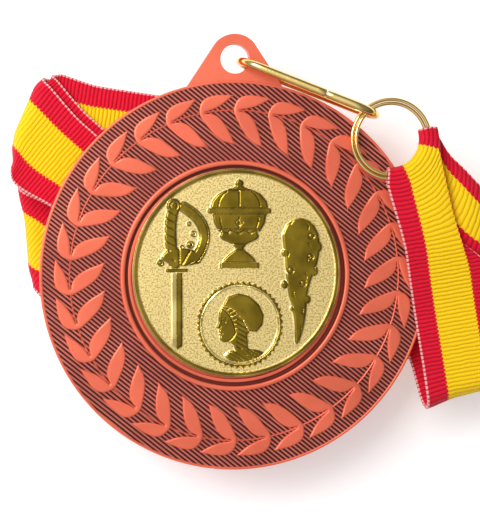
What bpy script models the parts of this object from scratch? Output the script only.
"""Round cast award medal with a stuck-on embossed emblem, a wire link, a split ring and a neck ribbon.

The medal lies face up on its folded ribbon: +Z is up, +Y runs from the disc to its hanging tab, and
Z = 0 is the surface that the ribbon rests on. All sizes are in metres, written through MM.
"""
import math

import bmesh
import bpy
from mathutils import Matrix, Vector

MM = 0.001

# ---- medal casting -------------------------------------------------------------------------------
DISC_R = 23.3 * MM            # outer radius of the disc
BASE_T = 2.0 * MM             # thickness of the plate and of the tab
EDGE_CHAMFER = 0.25 * MM      # broken edge round the disc, front and back
RING_OUT_R = 13.78 * MM       # raised ring round the emblem's recess, outside
RING_IN_R = 13.22 * MM        # and inside, which is the recess's wall
RING_H = 0.45 * MM            # height of the raised ring over the plate
RECESS_D = 0.80 * MM          # depth of the recess under the plate's face
RELIEF_H = 0.22 * MM          # height taken by the cast relief on the plate
TAB_RISE = 2.55 * MM          # centre of the tab's hole over the disc's edge
TAB_Y = DISC_R + TAB_RISE
TAB_R = 3.0 * MM              # rounded end of the tab
TAB_HOLE_R = 1.75 * MM        # hole for the link
TAB_FOOT_X = 5.9 * MM         # half width of the tab where it runs into the disc

# ---- emblem --------------------------------------------------------------------------------------
EMBLEM_R = 12.5 * MM
EMBLEM_T = 0.50 * MM
EMBLEM_SHIFT = (0.18 * MM, 0.32 * MM)   # the emblem is stuck on a little off centre
PAD_R = 12.0 * MM
PAD_T = 0.30 * MM
STACK_GAP = 0.10 * MM         # air between recess, pad and emblem

# ---- link and ring -------------------------------------------------------------------------------
LINK_WIRE_R = 0.50 * MM
LINK_GAP_HALF = 2.2 * MM      # half of the clear height inside the link
LINK_PITCH = math.radians(8.0)   # the link climbs from the tab to the ring
LINK_IN_HOLE = TAB_HOLE_R - 2 * LINK_WIRE_R   # the link's wire stands this far from the hole's centre
LINK_END_PLAY = 0.32 * MM     # play between the ring and the link's end
LINK_BUTT_AT = 0.70           # where on the upper leg the wire's two ends meet
LINK_BUTT_GAP = 0.12 * MM     # the wire's two ends meet with this gap
RING_WIRE_R = 0.22 * MM
RING_COIL_GAP = 0.04 * MM     # air between the ring's two turns
RING_MEAN_R = 4.50 * MM
RING_REACH = 1.451 * MM       # the ring's centre lies this far outside the disc's edge
RING_BEARING = math.radians(41.282)
RING_X = (DISC_R + RING_REACH) * math.cos(RING_BEARING)
RING_Y = (DISC_R + RING_REACH) * math.sin(RING_BEARING)
RING_TURNS_DEG = 714.0        # the ring's wire stops a little short of two full turns
RING_START_DEG = -60.0        # where the wire's inner end lies
RING_STEP_AT = 0.458          # share of the wire after which it steps to the outer turn
RING_STEP_LONG = 0.083        # and the share it takes to do so
KNUCKLE_DEG = 132.5           # where the link hangs on the ring

# ---- ribbon --------------------------------------------------------------------------------------
RIBBON_W = 10.0 * MM
RIBBON_T = 0.42 * MM
LAYER_PITCH = 0.60 * MM       # one folded layer over the next
HANK_LAYERS = 14              # layers of the folded bundle under the medal
LAYER_GAP = 0.30 * MM         # air between the ribbon's separate solids
FACE_GAP = 0.35 * MM          # air between the ribbon and the medal's face and back
FRONT_LEN = 23.2 * MM         # the arm that lies over the medal's edge
FRONT_DEG = -80.3
FRONT_START = (RING_X + 5.55 * MM, RING_Y - 6.33 * MM)
FRONT_RETURN = 16.0 * MM      # how far the same arm runs back under the medal
RIGHT_DEG = -13.5
RIGHT_START = (RING_X + 7.90 * MM, RING_Y - 7.13 * MM)
RIGHT_LEN = 53.5 * MM
RIGHT_DROP = 28.0 * MM        # length over which the right arm comes down
TAIL_END_X = 80.0 * MM        # far end of the neck loop, laid out to the right
TAIL_START_X = 20.6 * MM
TAIL_START_Y = -6.05 * MM
TAIL_DEG = 2.8
TAIL_LAYERS = 7               # passes of the neck loop lying on one another
FOLD_ARC_DEG = 62.0           # half of the arc that the ribbon takes up on the ring
FOLD_DEG = -44.0              # middle of that arc
FOLD_CLEAR = 0.28 * MM        # air between ring and ribbon
FOLD_REACH = 0.75 * MM        # the fold's two layers run this far past the ring

ARC_STEP_DEG = 4.0

# levels worked out from the sizes above
HANK_TOP = HANK_LAYERS * LAYER_PITCH
RETURN_Z = HANK_TOP + LAYER_GAP + RIBBON_T / 2
MEDAL_Z = RETURN_Z + RIBBON_T / 2 + FACE_GAP
FACE_Z = MEDAL_Z + BASE_T
FRONT_Z = FACE_Z + RELIEF_H + FACE_GAP + RIBBON_T / 2
RING_Z = FACE_Z + RELIEF_H + FACE_GAP + RIBBON_T + FOLD_CLEAR + RING_WIRE_R
TAIL_TOP = (TAIL_LAYERS - 1) * LAYER_PITCH + RIBBON_T


def polar(radius, degrees, x=0.0, y=0.0):
    angle = math.radians(degrees)
    return (x + radius * math.cos(angle), y + radius * math.sin(angle))


def clear_scene():
    for item in list(bpy.data.objects):
        bpy.data.objects.remove(item, do_unlink=True)


def make_material(name, color, roughness, metallic):
    material = bpy.data.materials.new(name)
    material.use_nodes = True
    shader = material.node_tree.nodes["Principled BSDF"]
    shader.inputs["Base Color"].default_value = (*color, 1.0)
    shader.inputs["Roughness"].default_value = roughness
    shader.inputs["Metallic"].default_value = metallic
    return material


def finish_object(name, mesh_or_bmesh, material, parent, smooth_deg=35.0):
    if isinstance(mesh_or_bmesh, bmesh.types.BMesh):
        mesh = bpy.data.meshes.new(name)
        bmesh.ops.recalc_face_normals(mesh_or_bmesh, faces=mesh_or_bmesh.faces)
        mesh_or_bmesh.to_mesh(mesh)
        mesh_or_bmesh.free()
    else:
        mesh = mesh_or_bmesh
    item = bpy.data.objects.new(name, mesh)
    bpy.context.collection.objects.link(item)
    mesh.materials.append(material)
    mesh.shade_smooth()
    mesh.set_sharp_from_angle(angle=math.radians(smooth_deg))
    item.parent = parent
    return item


def turned(profile, steps, x=0.0, y=0.0, z=0.0):
    """A closed solid turned round Z from a profile that starts and ends on the axis."""
    bm = bmesh.new()
    verts = [bm.verts.new((r, 0.0, h)) for r, h in profile]
    edges = [bm.edges.new(pair) for pair in zip(verts, verts[1:])]
    bmesh.ops.spin(bm, geom=verts + edges, cent=(0, 0, 0), axis=(0, 0, 1),
                   angle=2 * math.pi, steps=steps, use_merge=True)
    bmesh.ops.remove_doubles(bm, verts=bm.verts, dist=1e-7)
    bmesh.ops.translate(bm, verts=bm.verts, vec=(x, y, z))
    return bm


def extruded(bm, outline, z0, z1):
    """Adds the prism of a plane outline, given as (x, y) points, to a mesh."""
    face = bm.faces.new([bm.verts.new((x, y, z0)) for x, y in outline])
    grown = bmesh.ops.extrude_face_region(bm, geom=[face])
    moved = [v for v in grown["geom"] if isinstance(v, bmesh.types.BMVert)]
    bmesh.ops.translate(bm, verts=moved, vec=(0, 0, z1 - z0))


def arc(radius, start_deg, end_deg, x=0.0, y=0.0):
    count = max(2, int(abs(end_deg - start_deg) / ARC_STEP_DEG) + 1)
    turns = [start_deg + (end_deg - start_deg) * i / count for i in range(count + 1)]
    return [polar(radius, turn, x, y) for turn in turns]


def boolean(target, cutter, operation):
    cutter.hide_render = True
    cutter.display_type = "WIRE"
    modifier = target.modifiers.new(operation.title(), "BOOLEAN")
    modifier.operation = operation
    modifier.solver = "EXACT"
    modifier.object = cutter


# ---- medal casting -------------------------------------------------------------------------------
def disc_profile():
    top = BASE_T + RING_H
    floor = BASE_T - RECESS_D
    lip = RING_H / 4
    return [
        (0.0, floor),
        (RING_IN_R, floor),
        (RING_IN_R, top - lip),
        (RING_IN_R + lip, top),
        (RING_OUT_R - lip, top),
        (RING_OUT_R, top - lip),
        (RING_OUT_R, BASE_T),
        (DISC_R - EDGE_CHAMFER, BASE_T),
        (DISC_R, BASE_T - EDGE_CHAMFER),
        (DISC_R, EDGE_CHAMFER),
        (DISC_R - EDGE_CHAMFER, 0.0),
        (0.0, 0.0),
    ]


def tab_outline():
    """The tab: a round end, straight flanks, and a foot sunk into the disc."""
    flank = math.degrees(math.atan2(TAB_FOOT_X - TAB_R, TAB_Y - math.sqrt(DISC_R**2 - TAB_FOOT_X**2)))
    foot_y = math.sqrt(DISC_R**2 - TAB_FOOT_X**2)
    inner_y = foot_y - 3 * EDGE_CHAMFER
    outline = arc(TAB_R, flank, 180.0 - flank, 0.0, TAB_Y)
    outline += [(-TAB_FOOT_X, foot_y - EDGE_CHAMFER), (-TAB_FOOT_X * 0.9, inner_y)]
    outline += [(TAB_FOOT_X * 0.9, inner_y), (TAB_FOOT_X, foot_y - EDGE_CHAMFER)]
    return outline


def build_medal(parent):
    material = make_material("coral_bronze", (0.62, 0.17, 0.10), 0.42, 0.75)
    body = finish_object("medal_body", turned(disc_profile(), 120, z=MEDAL_Z), material, parent)

    tab = bmesh.new()
    extruded(tab, tab_outline(), MEDAL_Z + EDGE_CHAMFER / 2, FACE_Z - EDGE_CHAMFER / 2)
    tab_item = finish_object("tab_union", tab, material, parent)
    boolean(body, tab_item, "UNION")

    hole = bmesh.new()
    extruded(hole, arc(TAB_HOLE_R, 0.0, 348.0, 0.0, TAB_Y), MEDAL_Z - BASE_T, FACE_Z + BASE_T)
    boolean(body, finish_object("tab_hole_cutter", hole, material, parent), "DIFFERENCE")
    return body


# ---- emblem and its pad --------------------------------------------------------------------------
def build_emblem(parent):
    floor = FACE_Z - RECESS_D
    x, y = EMBLEM_SHIFT
    pad_z = floor + STACK_GAP
    foam = make_material("white_pad", (0.80, 0.79, 0.75), 0.80, 0.0)
    pad = [(0, PAD_T), (PAD_R, PAD_T), (PAD_R, 0), (0, 0)]
    finish_object("emblem_adhesive", turned(pad, 72, x, y, pad_z), foam, parent)

    gold = make_material("gold_foil", (0.78, 0.56, 0.16), 0.30, 1.0)
    lip = EMBLEM_T / 4
    emblem_z = pad_z + PAD_T + STACK_GAP
    rim = [(0, EMBLEM_T), (EMBLEM_R - lip, EMBLEM_T), (EMBLEM_R, EMBLEM_T - lip), (EMBLEM_R, 0), (0, 0)]
    finish_object("emblem_disc", turned(rim, 96, x, y, emblem_z), gold, parent)


# ---- link and ring -------------------------------------------------------------------------------
def wire(name, points, radius, material, parent, origin, resolution=3):
    """A bent round wire: an open poly spline with a round bevel and closed ends."""
    curve = bpy.data.curves.new(name, "CURVE")
    curve.dimensions = "3D"
    curve.bevel_depth = radius
    curve.bevel_resolution = resolution
    curve.use_fill_caps = True
    spline = curve.splines.new("POLY")
    spline.points.add(len(points) - 1)
    for slot, point in zip(spline.points, points):
        slot.co = (*(Vector(point) - Vector(origin)), 1.0)
    item = bpy.data.objects.new(name, curve)
    item.location = origin
    item.parent = parent
    curve.materials.append(material)
    bpy.context.collection.objects.link(item)
    return item


def knuckle():
    return polar(RING_MEAN_R, KNUCKLE_DEG, RING_X, RING_Y)


def link_points():
    """The link's wire: two straight legs and two round ends, open where its ends butt."""
    end_x, end_y = knuckle()
    run = math.hypot(end_x, end_y - TAB_Y)
    heading = math.atan2(end_y - TAB_Y, end_x)
    bend = LINK_GAP_HALF + LINK_WIRE_R
    ring_half = 2 * RING_WIRE_R + RING_COIL_GAP / 2
    near = LINK_IN_HOLE + bend
    far = run + ring_half * 1.15 + LINK_END_PLAY + LINK_WIRE_R - bend
    butt = near + LINK_BUTT_AT * (far - near)
    flat = [(butt + LINK_BUTT_GAP / 2, bend), (far, bend)]
    turns = [90.0 - 15.0 * i for i in range(1, 12)]
    flat += [(far + bend * math.cos(math.radians(t)), bend * math.sin(math.radians(t))) for t in turns]
    flat += [(far, -bend), (near, -bend)]
    turns = [270.0 - 15.0 * i for i in range(1, 12)]
    flat += [(near + bend * math.cos(math.radians(t)), bend * math.sin(math.radians(t))) for t in turns]
    flat += [(near, bend), (butt - LINK_BUTT_GAP / 2, bend)]
    place = (Matrix.Translation((0.0, TAB_Y, MEDAL_Z + BASE_T / 2))
             @ Matrix.Rotation(heading, 4, "Z") @ Matrix.Rotation(-LINK_PITCH, 4, "Y"))
    return [place @ Vector((u, 0.0, h)) for u, h in flat]


def ring_points():
    """Two turns of wire lying in one plane, the outer turn running on from the inner one."""
    half = RING_WIRE_R + RING_COIL_GAP / 2
    steps = 144
    points = []
    for i in range(steps + 1):
        share = i / steps
        ease = min(1.0, max(0.0, (share - RING_STEP_AT) / RING_STEP_LONG))
        ease = ease * ease * (3.0 - 2.0 * ease)
        radius = RING_MEAN_R - half + 2.0 * half * ease
        x, y = polar(radius, RING_START_DEG + RING_TURNS_DEG * share, RING_X, RING_Y)
        points.append((x, y, RING_Z))
    return points


def build_link_and_ring(parent):
    gold = make_material("gold_wire", (0.86, 0.63, 0.22), 0.18, 1.0)
    end_x, end_y = knuckle()
    wire("wire_link", link_points(), LINK_WIRE_R, gold, parent, (end_x, end_y, RING_Z), 3)
    wire("split_ring", ring_points(), RING_WIRE_R, gold, parent, (RING_X, RING_Y, RING_Z), 2)


# ---- ribbon --------------------------------------------------------------------------------------
def strip(name, path, start, heading_deg, material, parent):
    """A band of ribbon: its middle line (run, height) thickened and drawn out to the ribbon's width."""
    half = RIBBON_T / 2
    rows = []
    for i, (u, z) in enumerate(path):
        before = path[max(i - 1, 0)]
        after = path[min(i + 1, len(path) - 1)]
        along = Vector((after[0] - before[0], after[1] - before[1])).normalized()
        rows.append(((u + along.y * half, z - along.x * half), (u - along.y * half, z + along.x * half)))
    outline = [row[0] for row in rows] + [row[1] for row in reversed(rows)]
    bm = bmesh.new()
    face = bm.faces.new([bm.verts.new((u, -RIBBON_W / 2, z)) for u, z in outline])
    grown = bmesh.ops.extrude_face_region(bm, geom=[face])
    moved = [v for v in grown["geom"] if isinstance(v, bmesh.types.BMVert)]
    bmesh.ops.translate(bm, verts=moved, vec=(0, RIBBON_W, 0))
    bmesh.ops.rotate(bm, verts=bm.verts, cent=(0, 0, 0),
                     matrix=Matrix.Rotation(math.radians(heading_deg), 3, "Z"))
    bmesh.ops.translate(bm, verts=bm.verts, vec=(start[0], start[1], 0))
    return finish_object(name, bm, material, parent)


def half_turn(u, z_from, z_to):
    """The round end of a turned-back ribbon, from one height to another, as (run, height) points."""
    radius = abs(z_from - z_to) / 2
    middle = (z_from + z_to) / 2
    sense = 1 if z_from > z_to else -1
    turns = [math.radians(15 * i) for i in range(13)]
    return [(u + radius * math.sin(t), middle + sense * radius * math.cos(t)) for t in turns]


def build_front_arm(material, parent):
    path = [(0.0, FRONT_Z), (FRONT_LEN / 2, FRONT_Z)]
    path += half_turn(FRONT_LEN, FRONT_Z, RETURN_Z)
    path += [(FRONT_LEN - FRONT_RETURN, RETURN_Z)]
    strip("ribbon_front_arm", path, FRONT_START, FRONT_DEG, material, parent)


def build_right_arm(material, parent):
    """The arm from the ring's under side down onto the tail, and along it."""
    top = FRONT_Z - RIBBON_T - LAYER_GAP
    low = TAIL_TOP + LAYER_GAP + RIBBON_T / 2
    path = []
    for i in range(9):
        f = i / 8
        ease = f * f * (3 - 2 * f)
        path.append((RIGHT_DROP * f, top + (low - top) * ease))
    path.append((RIGHT_LEN, low))
    strip("ribbon_right_arm", path, RIGHT_START, RIGHT_DEG, material, parent)


def build_tail(material, parent):
    middle = TAIL_TOP / 2
    length = (TAIL_END_X - TAIL_START_X) / math.cos(math.radians(TAIL_DEG))
    bm = bmesh.new()
    bmesh.ops.create_cube(bm, size=1.0)
    bmesh.ops.scale(bm, verts=bm.verts, vec=(length, RIBBON_W, TAIL_TOP))
    bmesh.ops.translate(bm, verts=bm.verts, vec=(length / 2, 0, middle))
    bmesh.ops.rotate(bm, verts=bm.verts, cent=(0, 0, 0),
                     matrix=Matrix.Rotation(math.radians(TAIL_DEG), 3, "Z"))
    bmesh.ops.translate(bm, verts=bm.verts, vec=(TAIL_START_X, TAIL_START_Y, 0))
    finish_object("ribbon_tail", bm, material, parent)


def hank_outline():
    """Outer shape of the folded bundle: its two loops look out at the left of the medal."""
    return [(-22.9 * MM, 23.9 * MM), (-27.6 * MM, 15.0 * MM), (-25.6 * MM, 10.0 * MM),
            (-25.3 * MM, 2.0 * MM), (-22.6 * MM, -5.0 * MM), (-9.0 * MM, -18.0 * MM),
            (6.0 * MM, -19.0 * MM), (17.0 * MM, -13.0 * MM), (20.0 * MM, -5.0 * MM),
            (20.0 * MM, 7.0 * MM), (13.0 * MM, 17.0 * MM), (3.0 * MM, 20.8 * MM)]


def build_hank(material, parent):
    bm = bmesh.new()
    extruded(bm, hank_outline(), 0.0, HANK_TOP)
    finish_object("ribbon_hank", bm, material, parent)


def build_ring_fold(material, parent):
    """The ribbon's fold round the ring: a C section turned about the ring's own axis."""
    wall = RIBBON_T
    ring_half = 2 * RING_WIRE_R + RING_COIL_GAP / 2
    inner = RING_MEAN_R - ring_half - FOLD_CLEAR
    reach = RING_MEAN_R + ring_half + FOLD_REACH
    lift = RING_WIRE_R + FOLD_CLEAR
    section = [(reach, lift), (inner, lift), (inner, -lift), (reach, -lift), (reach, -lift - wall),
               (inner - wall / 2, -lift - wall), (inner - wall, -lift - wall / 2),
               (inner - wall, lift + wall / 2), (inner - wall / 2, lift + wall), (reach, lift + wall)]
    bm = bmesh.new()
    face = bm.faces.new([bm.verts.new((r, 0.0, h)) for r, h in section])
    start = Matrix.Rotation(math.radians(FOLD_DEG - FOLD_ARC_DEG), 3, "Z")
    bmesh.ops.rotate(bm, verts=bm.verts, cent=(0, 0, 0), matrix=start)
    bmesh.ops.spin(bm, geom=[face], cent=(0, 0, 0), axis=(0, 0, 1),
                   angle=math.radians(2 * FOLD_ARC_DEG), steps=24)
    bmesh.ops.remove_doubles(bm, verts=bm.verts, dist=1e-7)
    bmesh.ops.translate(bm, verts=bm.verts, vec=(RING_X, RING_Y, RING_Z))
    finish_object("ribbon_ring_fold", bm, material, parent)


def build_ribbon(parent):
    material = make_material("woven_ribbon", (0.75, 0.03, 0.06), 0.75, 0.0)
    build_hank(material, parent)
    build_tail(material, parent)
    build_front_arm(material, parent)
    build_right_arm(material, parent)
    build_ring_fold(material, parent)


def centre_on_origin(frame):
    """Moves the whole part so that its box is centred over the origin."""
    bpy.context.view_layer.update()
    graph = bpy.context.evaluated_depsgraph_get()
    low = [math.inf, math.inf]
    high = [-math.inf, -math.inf]
    for item in bpy.data.objects:
        if item.type == "EMPTY" or item.hide_render:
            continue
        shape = item.evaluated_get(graph)
        mesh = shape.to_mesh()
        for vert in mesh.vertices:
            place = shape.matrix_world @ vert.co
            low = [min(a, b) for a, b in zip(low, place)]
            high = [max(a, b) for a, b in zip(high, place)]
        shape.to_mesh_clear()
    frame.location = (-(low[0] + high[0]) / 2, -(low[1] + high[1]) / 2, 0.0)
    bpy.context.view_layer.update()


def main():
    clear_scene()
    frame = bpy.data.objects.new("part_frame", None)
    bpy.context.collection.objects.link(frame)
    build_ribbon(frame)
    build_medal(frame)
    build_emblem(frame)
    build_link_and_ring(frame)
    centre_on_origin(frame)


main()
